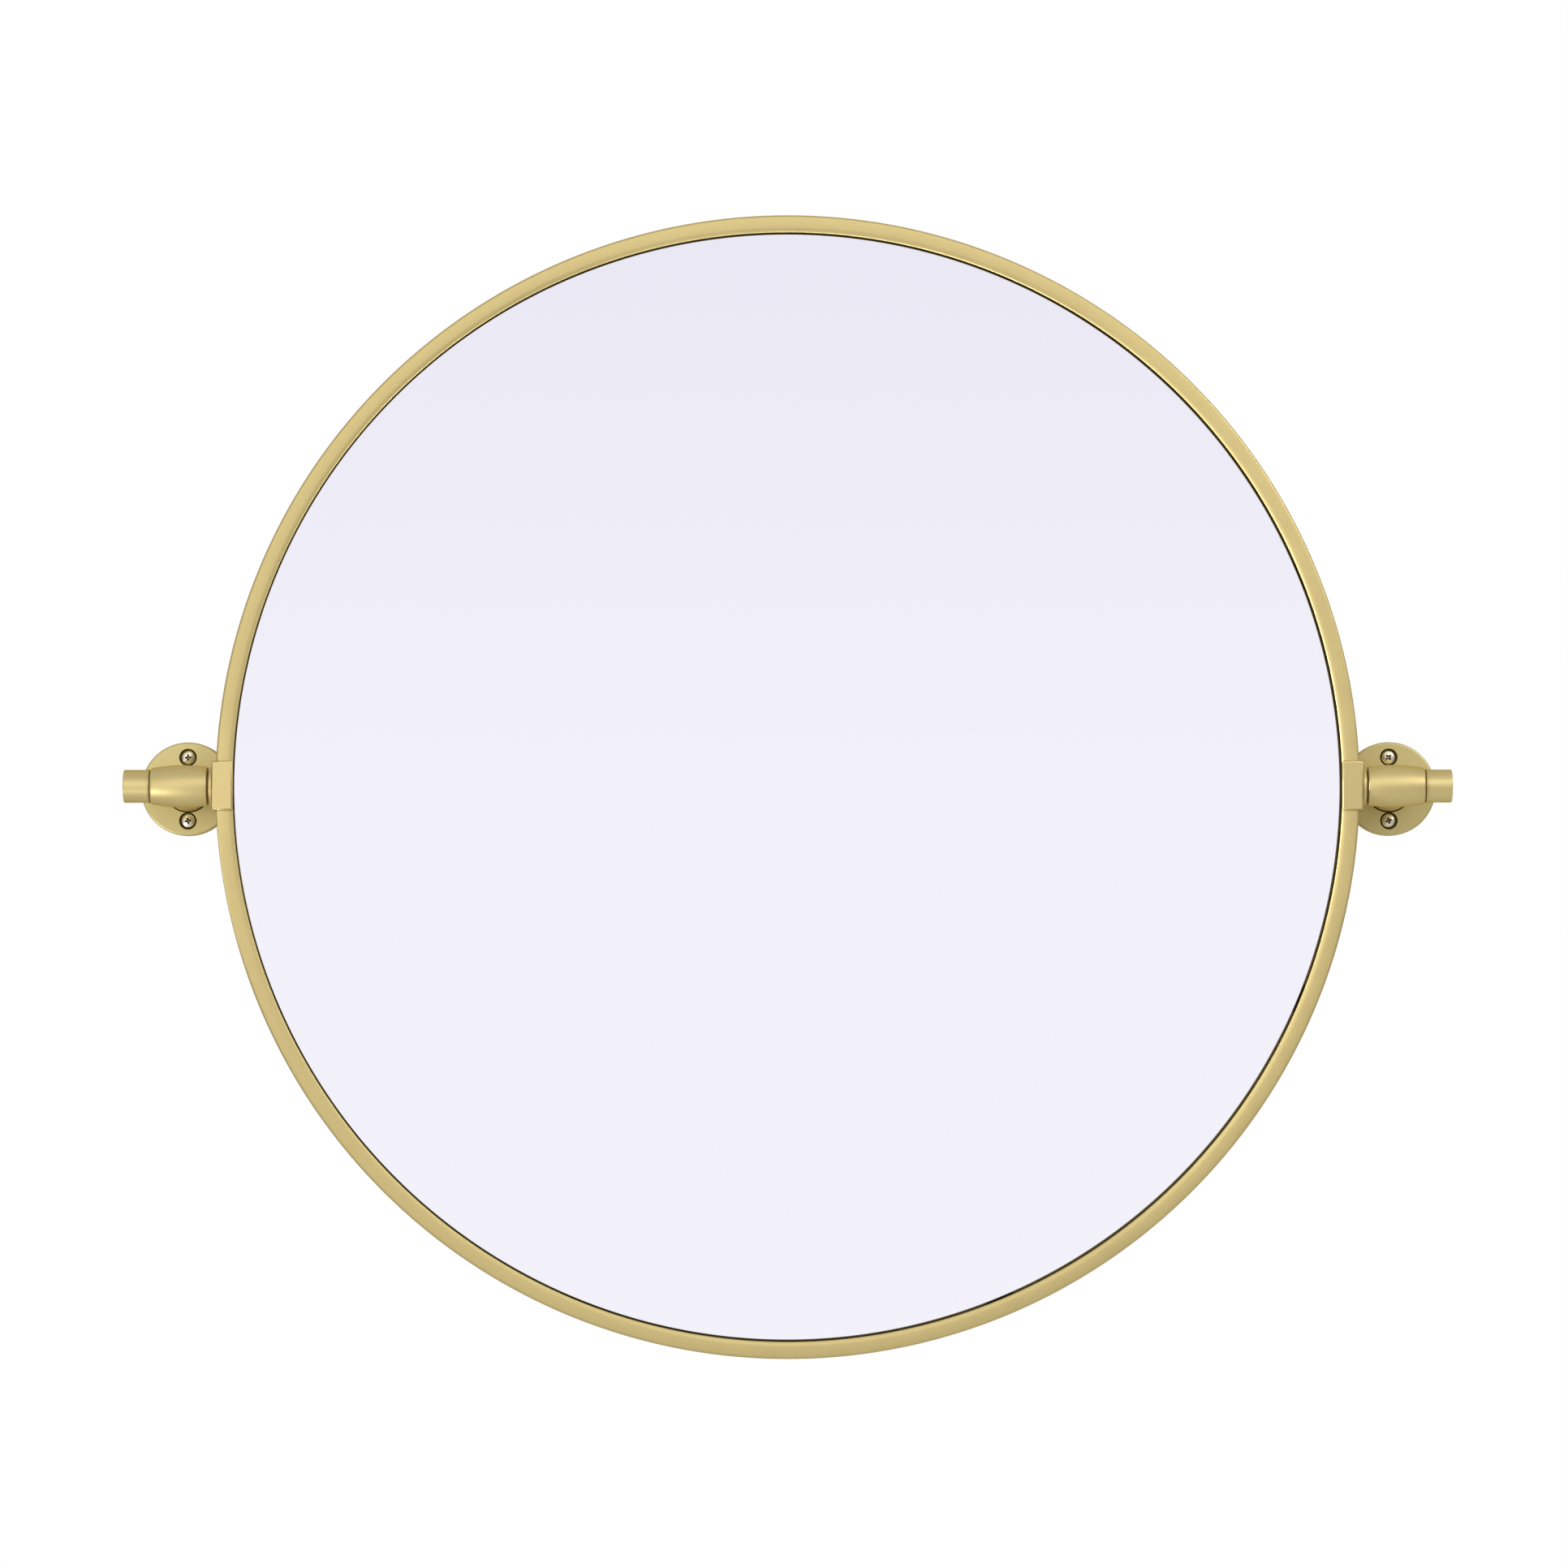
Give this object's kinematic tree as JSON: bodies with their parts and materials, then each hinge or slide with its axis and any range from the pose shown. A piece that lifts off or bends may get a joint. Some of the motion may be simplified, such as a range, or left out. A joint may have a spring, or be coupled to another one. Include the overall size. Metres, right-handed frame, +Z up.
{
  "type": "pivot wall mirror",
  "caption": "Round framed wall mirror that tilts on a level axis between two post brackets, each with a barrel knuckle, a round wall plate and a knob that sets the grip.",
  "frame": {"origin": "on the wall plane, in the middle of the four wall screws, level with the pivot axis", "axes": "+Y into the wall, so the mirror faces -Y; +X right as seen from the room, along the pivot axis; +Z up"},
  "size_m": [0.7098, 0.1066, 0.61],
  "materials": {
    "satin_gold": "satin brushed",
    "mirror_silver": "polished, silvered behind",
    "safety_film": "film",
    "foam_tape": "foam",
    "black_board": "black-faced fibreboard",
    "screw_steel": "zinc plated",
    "wall_screw_steel": "pale gold plated",
    "shaft_steel": "turned",
    "bronze": "sintered",
    "brown_nylon": "matt"
  },
  "bodies": {
    "wall_brackets": {"left_knuckle": "satin_gold", "left_wall_plate": "satin_gold", "left_post_screw": "screw_steel", "left_wall_screws": "wall_screw_steel", "left_inner_bush": "bronze", "left_outer_bush": "bronze", "left_spring_washer": "bronze", "right_knuckle": "satin_gold", "right_wall_plate": "satin_gold", "right_post_screw": "screw_steel", "right_wall_screws": "wall_screw_steel", "right_inner_bush": "bronze", "right_outer_bush": "bronze", "right_spring_washer": "bronze"},
    "mirror": {"frame_ring": "satin_gold", "mirror_glass": "mirror_silver", "silvering_film": "safety_film", "bonding_tape": "foam_tape", "backing_board": "black_board", "backing_lugs": "satin_gold", "lug_screws": "screw_steel", "left_side_block": "satin_gold", "left_block_screws": "screw_steel", "left_pivot_shaft": "shaft_steel", "left_collar": "satin_gold", "left_friction_washer": "brown_nylon", "right_side_block": "satin_gold", "right_block_screws": "screw_steel", "right_pivot_shaft": "shaft_steel", "right_collar": "satin_gold", "right_friction_washer": "brown_nylon"},
    "left_thrust_washer": {"left_thrust_washer": "satin_gold"},
    "left_knob": {"left_knob": "satin_gold"},
    "right_thrust_washer": {"right_thrust_washer": "satin_gold"},
    "right_knob": {"right_knob": "satin_gold"}
  },
  "joints": [
    {"name": "mirror_tilt", "type": "hinge", "parent": "wall_brackets", "child": "mirror", "pos_m": [0, -0.06, 0], "axis": [1, 0, 0], "range_deg": [-9, 9]},
    {"name": "left_knob_travel", "type": "slide", "parent": "mirror", "child": "left_thrust_washer", "axis": [-1, 0, 0], "range_m": [0, 0.001]},
    {"name": "left_knob_turn", "type": "hinge", "parent": "left_thrust_washer", "child": "left_knob", "pos_m": [-0.3413, -0.06, 0], "axis": [-1, 0, 0], "range_deg": [0, 360]},
    {"name": "right_knob_travel", "type": "slide", "parent": "mirror", "child": "right_thrust_washer", "axis": [1, 0, 0], "range_m": [0, 0.001]},
    {"name": "right_knob_turn", "type": "hinge", "parent": "right_thrust_washer", "child": "right_knob", "pos_m": [0.3413, -0.06, 0], "axis": [1, 0, 0], "range_deg": [0, 360]}
  ],
  "couplings": [
    {"joint": "left_knob_turn", "follows": "left_knob_travel", "rad_per_m": 6283.2},
    {"joint": "right_knob_turn", "follows": "right_knob_travel", "rad_per_m": 6283.2}
  ]
}
